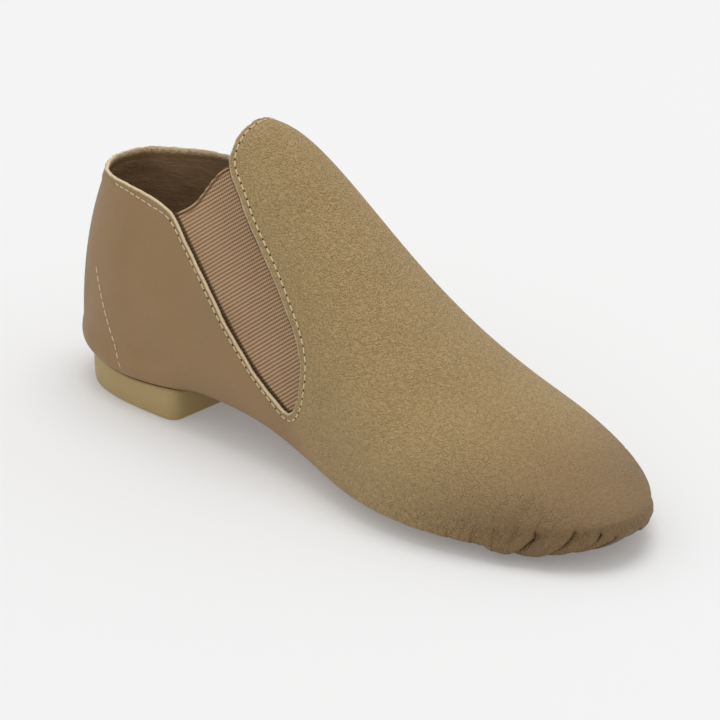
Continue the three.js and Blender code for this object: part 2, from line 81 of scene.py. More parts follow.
# Lines in side view: share of the length, then height. The leather's free edge runs from the heel along
# the collar, down the gore's cut-out, round its foot and up the vamp to the top of the tongue.
FREE_EDGE = [
    (-0.2, 78.0), (0.0, 78.3), (0.07, 79.4), (0.139, 80.2), (0.19, 79.1), (0.231, 75.9), (0.257, 70.2),
    (0.298, 60.2), (0.337, 49.8), (0.383, 38.4), (0.428, 29.4), (0.463, 24.7), (0.48, 23.3), (0.496, 26.8),
    (0.5035, 34.0), (0.4985, 44.0), (0.4715, 53.9), (0.438, 63.5), (0.402, 73.0), (0.366, 81.9),
    (0.334, 90.5), (0.308, 96.8), (0.3005, 102.5), (0.301, 107.0), (0.304, 109.3), (0.309, 113.0),
]
AHEAD_OF_ANKLE = 100
COUNTER_SEAM = [(0.0887, 46.9), (0.104, 38.6), (0.1225, 29.2), (0.14, 21.8), (0.157, 15.6)]
GORE_TOP = [
    (0.22, 74.6), (0.238, 77.2), (0.255, 80.0), (0.272, 85.5), (0.283, 90.7), (0.298, 95.4), (0.318, 98.5),
]

WALL = 1.2
RIM_ROUND = 0.55


# The last
def natural(rows):
    """Natural cubic curve through rows of two numbers"""
    xs, ys = np.array(rows, float).T
    gaps = np.diff(xs)
    system = np.eye(len(xs))
    target = np.zeros(len(xs))
    for i in range(1, len(xs) - 1):
        system[i, i - 1:i + 2] = gaps[i - 1], 2 * (gaps[i - 1] + gaps[i]), gaps[i]
        target[i] = 6 * ((ys[i + 1] - ys[i]) / gaps[i] - (ys[i] - ys[i - 1]) / gaps[i - 1])
    bend = np.linalg.solve(system, target)

    def at(x):
        x = np.clip(x, xs[0], xs[-1])
        i = np.clip(np.searchsorted(xs, x, side="right") - 1, 0, len(xs) - 2)
        span = gaps[i]
        a = (xs[i + 1] - x) / span
        b = 1 - a
        curved = (a ** 3 - a) * bend[i] + (b ** 3 - b) * bend[i + 1]
        return a * ys[i] + b * ys[i + 1] + curved * span * span / 6

    return at


def wrapped(turn):
    """A turn round the last brought back to between -1 and 1"""
    return (turn + 1) % 2 - 1


def turn_of(along):
    """The turn at a share of the length"""
    return np.arccos(1 - 2 * np.asarray(along, float)) / math.pi


def along_of(turn):
    """The share of the length at a turn"""
    return (1 - np.cos(math.pi * np.abs(wrapped(turn)))) / 2


def reach_curve(rows):
    """One side's reach by turn, from the heel's back to the toe's tip"""
    inside = [(float(turn_of(along)), reach) for along, reach in rows]
    return natural([(0, 0), *inside, (1, TIP_SWAY)])


right_reach, left_reach = reach_curve(RIGHT_REACH), reach_curve(LEFT_REACH)
ridge, widest, underside = natural(RIDGE), natural(WIDEST), natural(UNDERSIDE)
fullness_above, fullness_below = natural(FULLNESS_ABOVE), natural(FULLNESS_BELOW)
spine_sway = natural(SPINE_SWAY)

ALL_TURNS = np.linspace(0, 1, 2000)
MIDDLE_Y = (left_reach(ALL_TURNS).max() + right_reach(ALL_TURNS).min()) / 2


def soft_ramp(value):
    """0 below zero and the value itself above it, eased in between"""
    eased = (value + SPINE_EASE) ** 2 / (4 * SPINE_EASE)
    return np.where(value <= -SPINE_EASE, 0, np.where(value >= SPINE_EASE, value, eased))


def spine_start(along):
    """Where on the spine the rib to a share of the length starts"""
    return SPINE_START + soft_ramp(along - SPINE_START) - soft_ramp(along - SPINE_END)


def smooth_step(value, low, high):
    t = np.clip((value - low) / (high - low), 0, 1)
    return t * t * (3 - 2 * t)


def last_points(turn, level):
    """Places on the last. turn: 0 at the heel's back, 1 or -1 at the toe's tip, below zero on the right;
    level: -1 under the foot, 0 at the widest line, 1 on the ridge"""
    turn, level = np.broadcast_arrays(np.asarray(turn, float), np.asarray(level, float))
    share = np.abs(wrapped(turn))
    along = along_of(turn)
    reach = np.where(wrapped(turn) < 0, right_reach(share), left_reach(share))
    start = spine_start(along)
    sway = spine_sway(start)
    fullness = np.where(level < 0, fullness_below(along), fullness_above(along))
    angle = np.abs(level) * math.pi / 2
    flat, up = np.maximum(np.cos(angle), 0), np.sin(angle)
    size = (flat ** fullness + up ** fullness) ** (1 / fullness)
    out, rise = flat / size, up / size
    x = start + (along - start) * out
    y = sway + (reach - sway) * out
    low = widest(along)
    edge = np.where(level < 0, underside(x), ridge(x))
    return np.stack([x * SHOE - MIDDLE, y - MIDDLE_Y, low + (edge - low) * rise], -1)


def unit(ways):
    return ways / np.maximum(np.linalg.norm(ways, axis=-1, keepdims=True), 1e-9)


def last_normals(turn, level, step=0.002):
    held = np.clip(level, -1 + step * 1.01, 1 - step * 1.01)
    turned = last_points(turn + step, held) - last_points(turn - step, held)
    raised = last_points(turn, held + step) - last_points(turn, held - step)
    return unit(np.cross(raised, turned))


def on_last(turn, level):
    return last_points(turn, level), last_normals(turn, level)


# The free edge
def run_of(points):
    """The distance along a line to each of its points"""
    return np.r_[0, np.cumsum(np.linalg.norm(np.diff(points, axis=0), axis=1))]


def side_curve(rows, steps):
    """Smooth curve in side view through rows, at even steps"""
    points = np.array(rows, float) * [SHOE, 1]
    reach = run_of(points)
    at = np.linspace(0, reach[-1], steps)
    return np.stack([natural(np.c_[reach, points[:, k]])(at) for k in (0, 1)], -1)


def drawn_in(curve, distance):
    """A curve in side view moved off to its right, into the leather"""
    ahead = unit(np.gradient(curve, axis=0))
    return curve + distance * np.stack([ahead[:, 1], -ahead[:, 0]], -1)


def foot_step(curve):
    """The step of the cut-out's foot, the lowest ahead of the ankle"""
    return int(np.argmin(np.where(curve[:, 0] > AHEAD_OF_ANKLE, curve[:, 1], np.inf)))


def bisected(low, high, is_past):
    """The values between low and high from which is_past holds"""
    for _ in range(40):
        middle = (low + high) / 2
        past = is_past(middle)
        low, high = np.where(past, low, middle), np.where(past, middle, high)
    return (low + high) / 2


EDGE_CURVE = side_curve(FREE_EDGE, 1500)


class Opening:
    """The free edge drawn in by a distance, as a level for each turn on the quarters and a turn for each
    level on the vamp"""

    def __init__(self, inset=0.0):
        curve = drawn_in(EDGE_CURVE, inset)
        foot = foot_step(curve)
        self.quarter = np.c_[np.maximum.accumulate(curve[:foot + 1, 0]), curve[:foot + 1, 1]].T
        self.vamp = np.c_[curve[foot:, 0], np.maximum.accumulate(curve[foot:, 1])].T
        self.foot_turn = float(turn_of(curve[foot, 0] / SHOE))
        self.foot_level = float(self.level_at(self.foot_turn))

    def level_at(self, turn):
        turn = np.asarray(turn, float)

        def is_above(level):
            place = last_points(turn, level)
            return place[..., 2] > np.interp(place[..., 0] + MIDDLE, *self.quarter)

        return bisected(np.full(turn.shape, -0.6), np.full(turn.shape, 0.95), is_above)

    def turn_at(self, level):
        level = np.asarray(level, float)
        xs, heights = self.vamp

        def is_ahead(turn):
            place = last_points(turn, level)
            return place[..., 0] + MIDDLE > np.interp(place[..., 2], heights, xs)

        return bisected(np.full(level.shape, 0.2), np.full(level.shape, 0.65), is_ahead)


EDGE = Opening()
EDGE_STEPS = 420


def edge_line():
    """Turns and levels right round the free edge, from the heel's back round the left side"""
    turns = np.linspace(0, EDGE.foot_turn, EDGE_STEPS)
    rising = EDGE.foot_level + (1 - EDGE.foot_level) * np.linspace(0, 1, EDGE_STEPS) ** 1.3
    ahead = EDGE.turn_at(rising)
    left = np.c_[np.r_[turns, ahead[1:]], np.r_[EDGE.level_at(turns), rising[1:]]]
    right = left[::-1] * [-1, 1]
    return np.r_[left, right[1:-1]]


EDGE_LINE = edge_line()
EDGE_FOOT, TONGUE_TOP = EDGE_STEPS - 1, 2 * (EDGE_STEPS - 1)
EDGE_POINTS = last_points(*EDGE_LINE.T)
EDGE_ALONG, EDGE_HEIGHT = (EDGE_POINTS[:, 0] + MIDDLE) / SHOE, EDGE_POINTS[:, 2]
edge_number = np.arange(len(EDGE_LINE))
ON_VAMP = (edge_number > EDGE_FOOT) & (edge_number <= len(EDGE_LINE) - EDGE_FOOT)

# The stitches' distance from the edge, and where the edge is turned over and thick
QUARTER_INSET = [(0, 1.9), (0.1, 1.9), (0.15, 2.5), (0.195, 3.1), (0.245, 2.0), (0.45, 2.0), (0.476, 2.8)]
quarter_inset = np.interp(EDGE_ALONG, *np.transpose(QUARTER_INSET))
STITCH_INSET = np.where(ON_VAMP, 2.8 - 0.5 * smooth_step(EDGE_HEIGHT, 92, 104), quarter_inset)
ROLLED = np.where(ON_VAMP, smooth_step(EDGE_HEIGHT, 97, 101), 1 - smooth_step(EDGE_ALONG, 0.205, 0.232))

edge_tree = KDTree(len(EDGE_POINTS))
for number, place in enumerate(EDGE_POINTS):
    edge_tree.insert(place, number)
edge_tree.balance()


def nearest_edge(places):
    """Distance to the free edge, and the number of its nearest place"""
    flat = places.reshape(-1, 3)
    number = np.array([edge_tree.find(place)[1] for place in flat])
    best = np.full(len(flat), np.inf)
    for step in (-1, 1):
        start, end = EDGE_POINTS[number], EDGE_POINTS[(number + step) % len(EDGE_POINTS)]
        way = end - start
        share = np.clip(np.sum((flat - start) * way, 1) / np.sum(way * way, 1), 0, 1)
        best = np.minimum(best, np.linalg.norm(flat - start - way * share[:, None], axis=1))
    on_edge = 0.02
    shape = places.shape[:-1]
    return np.maximum(best - on_edge, 0).reshape(shape), number.reshape(shape)


# Leather relief, in millimetres out from the last
def trough(distance, width):
    """A soft groove, 1 in its middle and 0 past its width"""
    t = np.clip(np.abs(distance) / width, 0, 1)
    return (1 - t * t) ** 2


def rounded_edge(distance, radius=RIM_ROUND):
    """How far the turned edge rounds over towards the middle of the wall"""
    gap = np.clip(radius - distance, 0, radius)
    return radius - np.sqrt(np.maximum(radius ** 2 - gap ** 2, 0))


# Folds where the leather is gathered under the forefoot: side, depth and width, then places as turn and
# level from the top down. The leather on the heel's side of each overhangs it.
FOLDS = [
    (-1, 0.4, 3, (0.648, -0.2), (0.642, -0.45), (0.63, -0.7)),
    (-1, 0.35, 3, (0.683, -0.14), (0.676, -0.4), (0.66, -0.7)),
    (-1, 0.5, 4, (0.708, -0.16), (0.702, -0.42), (0.69, -0.7)),
    (-1, 0.5, 3, (0.737, -0.1), (0.732, -0.35), (0.72, -0.66)),
    (-1, 0.45, 3, (0.762, -0.02), (0.76, -0.25), (0.755, -0.5)),
    (-1, 0.4, 3, (0.788, 0.04), (0.784, -0.16), (0.78, -0.34)),
    (-1, 2.9, 8, (0.816, 0.04), (0.811, -0.12), (0.802, -0.26), (0.792, -0.36), (0.773, -0.46),
     (0.75, -0.56), (0.725, -0.68)),
    (-1, 0.45, 3, (0.832, 0.06), (0.828, -0.12), (0.824, -0.33)),
    (-1, 2.9, 8, (0.877, 0.06), (0.87, -0.08), (0.862, -0.22), (0.85, -0.33), (0.825, -0.45),
     (0.8, -0.56), (0.775, -0.68)),
    (-1, 0.45, 3, (0.897, 0.0), (0.89, -0.14), (0.882, -0.28)),
    (-1, 2.6, 7, (0.924, -0.1), (0.918, -0.21), (0.904, -0.34), (0.875, -0.45), (0.85, -0.56),
     (0.825, -0.68)),
    (-1, 0.9, 6, (0.957, -0.26), (0.947, -0.35), (0.92, -0.46), (0.895, -0.58)),
    (1, 0.6, 5, (0.66, -0.24), (0.652, -0.4), (0.635, -0.65)),
    (1, 1.1, 6, (0.715, -0.18), (0.706, -0.32), (0.69, -0.45), (0.665, -0.62)),
    (1, 1.8, 8, (0.78, -0.08), (0.775, -0.2), (0.766, -0.32), (0.745, -0.44), (0.72, -0.56), (0.7, -0.66)),
    (1, 0.45, 3, (0.81, -0.04), (0.804, -0.18), (0.797, -0.32)),
    (1, 1.9, 8, (0.848, -0.06), (0.843, -0.2), (0.832, -0.34), (0.808, -0.46), (0.785, -0.56), (0.76, -0.68)),
    (1, 0.45, 3, (0.882, -0.12), (0.876, -0.24), (0.866, -0.36)),
    (1, 1.6, 7, (0.915, -0.18), (0.908, -0.28), (0.89, -0.4), (0.862, -0.52), (0.84, -0.64)),
    (1, 0.9, 6, (0.965, -0.28), (0.954, -0.38), (0.93, -0.48), (0.905, -0.6)),
]
HEEL_SIDE = 0.9
# Folds deeper than this get painted shade along their creases
DEEP_FOLD = 0.8

# Long soft wrinkles beside the ball: side, depth, then places as turn and level
WRINKLES = [
    (-1, 0.42, (0.8136, 0.5), (0.8, 0.32), (0.7914, 0.12), (0.7904, -0.1), (0.788, -0.3)),
    (-1, 0.32, (0.806, 0.55), (0.791, 0.34), (0.781, 0.1), (0.779, -0.12)),
    (-1, 0.26, (0.838, 0.34), (0.824, 0.18), (0.817, 0.02)),
    (-1, 0.26, (0.775, 0.42), (0.763, 0.22), (0.758, 0.0)),
    (-1, 0.22, (0.858, 0.3), (0.846, 0.14), (0.842, 0.0)),
    (1, 0.3, (0.8, 0.44), (0.788, 0.24), (0.78, 0.04), (0.782, -0.14)),
    (1, 0.2, (0.83, 0.4), (0.817, 0.2), (0.812, 0.0)),
    (1, 0.2, (0.772, 0.4), (0.76, 0.2), (0.754, 0.0)),
]
WRINKLE_WIDTH = 0.9
CREASE_STEPS = 60


def crease_line(side, knots):
    """A crease's places, and the way across it towards the toe"""
    at, steps = np.linspace(0, 1, len(knots)), np.linspace(0, 1, CREASE_STEPS)
    turn, level = (natural(np.c_[at, np.array(knots)[:, k]])(steps) for k in (0, 1))
    line = last_points(side * turn, level)
    ahead = unit(np.gradient(line, axis=0))
    across = last_points(side * (turn + 0.003), level) - line
    across -= ahead * np.sum(across * ahead, 1, keepdims=True)
    return line, unit(across)


def near_crease(places, line, reach):
    """The places near a crease, with the nearest step of it, the distance and the way"""
    near = np.all((places > line.min(0) - reach) & (places < line.max(0) + reach), -1)
    offset = places[near][:, None] - line[None]
    distance = np.linalg.norm(offset, axis=-1)
    step = distance.argmin(1)
    row = np.arange(len(step))
    return near, step, distance[row, step], offset[row, step]


def crease_relief(places):
    """Height of the folds and wrinkles, the painted shade in the folds' creases, and how far the leather is
    moved over them"""
    height, dark, moved = np.zeros(places.shape[:-1]), np.zeros(places.shape[:-1]), np.zeros(places.shape)
    for side, depth, width, *knots in FOLDS:
        line, across = crease_line(side, knots)
        near, step, distance, way = near_crease(places, line, width)
        share = step / (CREASE_STEPS - 1)
        toward_toe = np.sum(way * across[step], 1) > 0
        fade = smooth_step(share, -0.04, 0.18) * (1 - smooth_step(share, 0.9, 1.05))
        slope = (1 - np.clip(distance / np.where(toward_toe, width, HEEL_SIDE), 0, 1)) ** 2.1
        height[near] -= depth * fade * slope
        over = 0.6 * min(depth, 2) * fade * trough(distance, 2.6) * ~toward_toe
        moved[near] += over[:, None] * across[step]
        # Painted shade along a deep fold's crease, wider on the toe's side
        if depth > DEEP_FOLD:
            dark[near] = np.maximum(dark[near], fade * trough(distance, np.where(toward_toe, 2.3, 0.5)))
    for side, depth, *knots in WRINKLES:
        line, _ = crease_line(side, knots)
        near, step, distance, _ = near_crease(places, line, 2)
        share = step / (CREASE_STEPS - 1)
        fade = smooth_step(share, -0.02, 0.3) * (1 - smooth_step(share, 0.7, 1.02))
        height[near] -= depth * trough(distance, WRINKLE_WIDTH) * fade
    return height, dark, moved


# Swells by turn: the gathered leather under the forefoot, and the heel's top. The leather is drawn in just
# in front of the heel, no further than DRAWN_IN.
GATHERED = natural([
    (0.0, 0.0), (0.55, 0.0), (0.6, 0.3), (0.65, 0.6), (0.7, 0.8), (0.74, 1.6), (0.78, 2.8), (0.86, 3.1),
    (0.95, 2.6), (1.0, 1.5),
])
NOTCH = 0.748
HEEL_SWELL = natural([
    (0.0, 1.3), (0.1, 1.4), (0.2, 2.0), (0.26, 2.3), (0.3, 1.7), (0.34, 0.0), (0.37, -2.6), (0.4, -2.3),
    (0.44, -0.9), (0.49, 0.0), (0.55, 0.0), (1.0, 0.0),
])
HEEL_SWELL_LEVEL = -0.46
DRAWN_IN = 1.2


def gathered_swell(turn, level):
    """Soft rolls where the leather turns under the forefoot, fainter on the right behind the notch"""
    share = np.abs(wrapped(turn))
    band = smooth_step(-level, 0.05, 0.5) * (1 - smooth_step(-level, 0.62, 0.8))
    before = np.where(turn < 0, 0.25 + 0.75 * smooth_step(share, NOTCH - 0.006, NOTCH + 0.008), 1)
    return GATHERED(share) * band * before


def heel_swell(turn, level):
    """The leather bulges over the heel block's top edge, and is drawn in just in front of the heel"""
    swell = HEEL_SWELL(np.abs(wrapped(turn))) * trough(level - HEEL_SWELL_LEVEL, 0.4)
    return np.maximum(swell, DRAWN_IN * np.tanh(swell / DRAWN_IN))


def waist_draw(turn, level):
    """How far the inner layers follow the leather in, in front of the heel"""
    return np.minimum(heel_swell(turn, level), 0)


def rim_relief(distance, inset):
    """The margin beside the free edge stands up a little, and the stitches lie in a groove"""
    return 0.16 * trough(distance - inset * 0.45, inset * 0.5) - 0.2 * trough(distance - inset, 0.6)


def back_hem(turn, distance):
    """The collar's hem stands out at the back of the heel"""
    hem = smooth_step(distance, 0, 0.9) - smooth_step(distance, 5.4, 5.9)
    return 0.45 * hem * (1 - smooth_step(np.abs(turn), 0.13, 0.17))


def rim_ripple(number, distance):
    around = number * (2 * math.pi / len(EDGE_LINE))
    ripple = 0.11 * sum(np.sin(around * waves + waves) for waves in (35, 56, 99))
    return ripple * (1 - smooth_step(distance, 0, 3))


def leather_places(turn, level, is_inner):
    """Places of the leather's outer or inner face, and values for its colour: painted shade in the folds'
    creases, and the pale band along the free edge, partly edge wear and partly painted highlight
    """
    base, normal = on_last(turn, level)
    distance, number = nearest_edge(base)
    drawn = waist_draw(turn, level)
    if is_inner:
        thick = WALL + ROLLED[number] * (1 - smooth_step(distance, 1.4, 2.8))
        lift = rounded_edge(distance, thick - RIM_ROUND) - thick + drawn
        # Inside, the pale band reaches further: painted light on the inner rim, which lies in shade
        dark, moved, pale_band_reach = np.zeros(turn.shape), 0, 3.6
    else:
        folds, dark, moved = crease_relief(base)
        pale_band_reach, thinnest = 1.3, 0.15
        lift = folds + rim_relief(distance, STITCH_INSET[number]) - rounded_edge(distance)
        lift += gathered_swell(turn, level) + heel_swell(turn, level)
        lift = np.maximum(lift, drawn + thinnest - WALL) + back_hem(turn, distance)
    # The pale band along the free edge: partly edge wear, partly a painted highlight on the rim
    worn = np.where(ON_VAMP[number], 0.85, 1.0) * (1 - smooth_step(distance, 0.3, pale_band_reach))
    lift = lift + rim_ripple(number, distance)
    places = base + normal * lift[..., None] + moved
    over_floor = 0.15
    places[..., 2] = np.maximum(places[..., 2], over_floor)
    return places, {"share": np.abs(wrapped(turn)), "level": level, "worn": worn, "dark": dark}


# Meshes from grids
def in_scene(name, data):
    made = bpy.data.objects.new(name, data)
    bpy.context.scene.collection.objects.link(made)
    return made


def finish_mesh(name, bm, smooth=True):
    mesh = bpy.data.meshes.new(name)
    bm.to_mesh(mesh)
    bm.free()
    mesh.polygons.foreach_set("use_smooth", [smooth] * len(mesh.polygons))
    return in_scene(name, mesh)


def grid_mesh(name, *sheets, weld=0.02):
    """A piece from grids moved to the given places, with welded seams. Each sheet is its places, whether
    its faces turn round, and its values by layer"""
    bm = bmesh.new()
    kept = {layer: bm.verts.layers.float.new(layer) for layer in sheets[0][2]}
    for places, flipped, values in sheets:
        across, along = places.shape[0] - 1, places.shape[1] - 1
        before = set(bm.faces)
        made = bmesh.ops.create_grid(bm, x_segments=across, y_segments=along, size=1)
        for vert in made["verts"]:
            i = round((vert.co.x + 1) / 2 * across)
            j = round((vert.co.y + 1) / 2 * along)
            for layer, handle in kept.items():
                vert[handle] = float(values[layer][i, j])
            vert.co = Vector(places[i, j]) * MM
        if flipped:
            bmesh.ops.reverse_faces(bm, faces=[face for face in bm.faces if face not in before])
    bmesh.ops.remove_doubles(bm, verts=bm.verts, dist=weld * MM)
    bmesh.ops.recalc_face_normals(bm, faces=bm.faces)
    return finish_mesh(name, bm)


def block(name, rows):
    return grid_mesh(name, (np.array(rows), False, {}))


def even_by(gap, count):
    """Numbers from 0 to 1 whose steps follow a curve of relative gaps"""
    at = np.linspace(0, 1, 2000)
    reach = np.r_[0, np.cumsum(1 / gap(at)[:-1])]
    return np.interp(np.linspace(0, 1, count + 1), reach / reach[-1], at)


def rows_up(at):
    """Gaps from the underside up to the free edge, closest at the edge"""
    sides = 0.9 - 0.4 * smooth_step(at, 0.1, 0.25) + 0.5 * smooth_step(at, 0.8, 0.9)
    return sides * (1 - 0.9 * smooth_step(at, 0.95, 0.99))


def rows_ahead(at):
    """Gaps from the free edge to the toe, closest at the edge"""
    edge = 0.12 + 1.1 * smooth_step(at, 0, 0.045)
    return edge - 0.75 * smooth_step(at, 0.22, 0.4) + 0.4 * smooth_step(at, 0.9, 1.0)


def rows_plain(at):
    """Even gaps that narrow towards both ends"""
    return 0.3 + smooth_step(at, 0, 0.1) * smooth_step(1 - at, 0, 0.1)


def quarter_grid(opening, around, low, up, **_):
    """Turns and levels of the quarters, between the feet of the cut-outs"""
    turns = np.linspace(-opening.foot_turn, opening.foot_turn, around + 1)
    tops = opening.level_at(np.abs(turns))
    turn = np.repeat(turns[:, None], low + 1, 1)
    return turn, -1 + (tops[:, None] + 1) * even_by(up, low)[None, :]


def vamp_grid(opening, low, up, columns, ahead, high, **_):
    """Turns and levels of the vamp, from side to side over the ridge"""
    lower = -1 + (opening.foot_level + 1) * even_by(up, low)
    upper = opening.foot_level + (1 - opening.foot_level) * np.linspace(0, 1, high + 1) ** 1.25
    half = np.r_[lower, upper[1:]]
    starts = np.r_[np.full(low + 1, opening.foot_turn), opening.turn_at(upper[1:])]
    left = starts[:, None] + (1 - starts[:, None]) * even_by(ahead, columns)[None, :]
    level = np.repeat(half[:, None], columns + 1, 1)
    turn = np.r_[left, -left[::-1][1:]]
    return turn, np.r_[level, level[::-1][1:]]


def shell(name, opening, places, outer, inner):
    """A closed wall with an outer and an inner face, welded along its free edge"""
    sheets = []
    for is_inner, sizes in ((False, outer), (True, inner)):
        for turn, level in (quarter_grid(opening, **sizes), vamp_grid(opening, **sizes)):
            moved, values = places(turn, level, is_inner)
            sheets.append((moved, is_inner, values))
    return grid_mesh(name, *sheets)


# Upper
upper = shell(
    "upper_leather", EDGE, leather_places,
    {"around": 170, "low": 90, "up": rows_up, "columns": 255, "ahead": rows_ahead, "high": 50},
    {"around": 170, "low": 18, "up": rows_plain, "columns": 26, "ahead": rows_plain, "high": 50},
)
leather_skin = BVHTree.FromPolygons(
    [vert.co.copy() for vert in upper.data.vertices], [list(face.vertices) for face in upper.data.polygons],
)

# Lining: dark textile inside, its edge a little below the leather's rim
LINING_OUTSIDE, LINING_INSIDE = 1.35, 1.75
LINING_EDGE = Opening(3.2)
LINING_GRID = {"around": 120, "low": 24, "up": rows_plain, "columns": 60, "ahead": rows_plain, "high": 30}


def lining_places(turn, level, is_inner):
    depth = LINING_INSIDE if is_inner else LINING_OUTSIDE
    base, normal = on_last(turn, level)
    return base + normal * (waist_draw(turn, level) - depth)[..., None], {}


lining = shell("lining", LINING_EDGE, lining_places, LINING_GRID, LINING_GRID)


# Gores
GORE_LAP = 5.5
GORE_BACK_X, GORE_FRONT_HEIGHT = 55.5, 98.5
GORE_OUTSIDE, GORE_INSIDE = 1.45, 2.45
GORE_DOWN, GORE_ACROSS = 91, 49


def side_turns(points):
    """Turns and levels of points in side view"""
    xs, heights = points.T
    turn = turn_of(np.clip(xs / SHOE, 0.05, 0.95))
    level = np.full(len(xs), 0.4)
    for _ in range(60):
        place = last_points(turn, level)
        turn = np.clip(turn + (xs - MIDDLE - place[:, 0]) * 0.0025, 0.02, 0.98)
        level = np.clip(level + (heights - place[:, 2]) * 0.006, -0.9, 0.999)
    return turn, level


def gore(name, side):
    """An elastic panel lapped behind the leather, down to the cut-out's foot"""
    lap = drawn_in(EDGE_CURVE, GORE_LAP)
    steps = np.arange(len(lap))
    foot = foot_step(EDGE_CURVE)
    back_top = int(np.argmax(EDGE_CURVE[:, 0] > GORE_BACK_X))
    front_top = foot + int(np.argmax(EDGE_CURVE[foot:, 1] > GORE_FRONT_HEIGHT))
    back, front = (
        np.stack([np.interp(np.linspace(top, foot, GORE_DOWN), steps, row) for row in lap.T], -1)[:, None]
        for top in (back_top, front_top)
    )
    shape = (GORE_DOWN, GORE_ACROSS)
    down, toward = np.meshgrid(*(np.linspace(0, 1, count) for count in shape), indexing="ij")
    flat = back * (1 - toward[..., None]) + front * toward[..., None]
    flat = flat + (side_curve(GORE_TOP, GORE_ACROSS) - flat[0]) * (1 - down[..., None]) ** 3
    turn, level = (value.reshape(shape) for value in side_turns(flat.reshape(-1, 2)))
    base, normal = on_last(side * turn, level)
    down_lengths = np.cumsum(np.linalg.norm(np.diff(base, axis=0), axis=-1), 0)
    drop = np.concatenate([np.zeros((1, GORE_ACROSS)), down_lengths])
    # beside: distance from the leather's edge, for the painted shadow line along it
    values = {"drop": drop, "toward": toward, "beside": nearest_edge(base)[0]}
    outside, inside = base - normal * GORE_OUTSIDE, base - normal * GORE_INSIDE
    sheets = [(outside, False, values), (inside, True, values)]
    for border in (np.s_[0], np.s_[-1], np.s_[:, 0], np.s_[:, -1]):
        rim = {layer: np.stack([value[border]] * 2) for layer, value in values.items()}
        # The panel's rims take the full painted shadow
        rim["beside"] = np.zeros_like(rim["beside"])
        sheets.append((np.stack([outside[border], inside[border]]), False, rim))
    return grid_mesh(name, *sheets)


gores = [gore("gore_elastic_right", -1), gore("gore_elastic_left", 1)]


# Outlines from below, for the heel and the sole pad
def surface_height(x, y):
    """Height of the leather's underside over a place on the floor"""
    hit = leather_skin.ray_cast(Vector((x * MM, y * MM, -0.02)), Vector((0, 0, 1)))
    return hit[0].z / MM


def rib_outline(share, turns):
    """The last's outline drawn in towards its spine"""
    start = spine_start(along_of(turns))
    spine = np.stack([start * SHOE - MIDDLE, spine_sway(start) - MIDDLE_Y], -1)
    return last_points(turns, 0.0)[:, :2] * share + spine * (1 - share)


def even_outline(points, count):
    closed = np.r_[points, points[:1]]
    reach = run_of(closed)
    at = np.linspace(0, reach[-1], count + 1)
    return np.stack([np.interp(at, reach, closed[:, k]) for k in (0, 1)], -1)


def outward(outline):
    places = outline[:-1]
    after, before = np.roll(places, -1, 0), np.roll(places, 1, 0)
    ahead = unit(after - before)
    area = np.sum(places[:, 0] * after[:, 1] - places[:, 1] * after[:, 0])
    out = np.stack([ahead[:, 1], -ahead[:, 0]], -1) * np.sign(area)
    return np.r_[out, out[:1]]


def drawn_to(centre, outline, share):
    return centre + (outline - centre) * share


def ring(outline, heights):
    """An outline at one height, or at a height for each place"""
    return np.c_[outline, np.broadcast_to(np.asarray(heights, float), len(outline))]


def under_leather(outline, gap):
    return ring(outline, [surface_height(*place) - gap for place in outline])


# Heel: a low moulded block
HEEL_SHARE, HEEL_REACH = 0.92, 0.33
HEEL_FRONT_X, HEEL_CORNER = -63, 4.5
HEEL_EDGE = [(3, 0), (1.0, 0), (0.7, 0.05), (0.35, 0.2), (0.12, 0.5), (0.02, 0.9)]
HEEL_EDGE_TOP = 0.9
HEEL_BULGE = 0.25
SEAT_GAP = 0.05


def heel_plan():
    """The last's own curve behind, and rounded corners in front"""
    back = rib_outline(HEEL_SHARE, np.linspace(-HEEL_REACH, HEEL_REACH, 160))
    back = back[back[:, 0] < HEEL_FRONT_X - HEEL_CORNER]
    angles = np.linspace(0, math.pi / 2, 9)[1:]
    ahead = HEEL_FRONT_X - HEEL_CORNER * (1 - np.sin(angles))
    aside = HEEL_CORNER * (1 - np.cos(angles))
    left, right = np.c_[ahead, back[-1, 1] - aside], np.c_[ahead, back[0, 1] + aside]
    return even_outline(np.r_[back, left, right[::-1]], 180)


def heel_block():
    """A tread with a soft edge, sides that bulge, and a top that fits under the leather"""
    plan = heel_plan()
    out, centre = outward(plan), plan[:-1].mean(0)
    tread = drawn_to(centre, plan, 0.99)
    rows = [ring(drawn_to(centre, tread, share), 0) for share in (0, 0.35, 0.7)]
    rows += [ring(tread - out * inset, height) for inset, height in HEEL_EDGE]
    tops = under_leather(plan - out * 0.4, SEAT_GAP)[:, 2]
    for share in (0.15, 0.3, 0.45, 0.6, 0.75, 0.88, 1.0):
        bulge = HEEL_BULGE * math.sin(math.pi * share)
        side = tread + (plan - tread) * share + out * bulge
        rows.append(ring(side, HEEL_EDGE_TOP + (tops - HEEL_EDGE_TOP) * share))
    for share, gap in ((0.98, 0.35), (0.92, 0.5), (0.6, 0.6), (0, 0.6)):
        rows.append(under_leather(drawn_to(centre, plan, share), gap))
    return block("heel_rubber", rows)


heel = heel_block()

# Sole pad: thin suede under the forefoot
PAD_SHARE, PAD_START, PAD_BULGE = 0.66, 0.57, 13
PAD_EDGE = [(1.5, 0), (0.6, 0.02), (0.25, 0.15), (0.05, 0.4), (0, 0.8), (0, 1.4)]


def pad_outline():
    """The forefoot's own curve, and a round end behind"""
    first = float(turn_of(PAD_START))
    sides = rib_outline(PAD_SHARE, np.linspace(first, 2 - first, 160))
    middle, half = (sides[0] + sides[-1]) / 2, (sides[-1] - sides[0]) / 2
    angles = np.linspace(0, math.pi, 40)[1:-1, None]
    back = middle + half * np.cos(angles) - np.array([PAD_BULGE, 0]) * np.sin(angles)
    return even_outline(np.r_[sides, back], 220)


def tread_heights(outline):
    """The tread rises with the toe"""
    return np.maximum(0, underside((outline[:, 0] + MIDDLE) / SHOE) - TREAD)


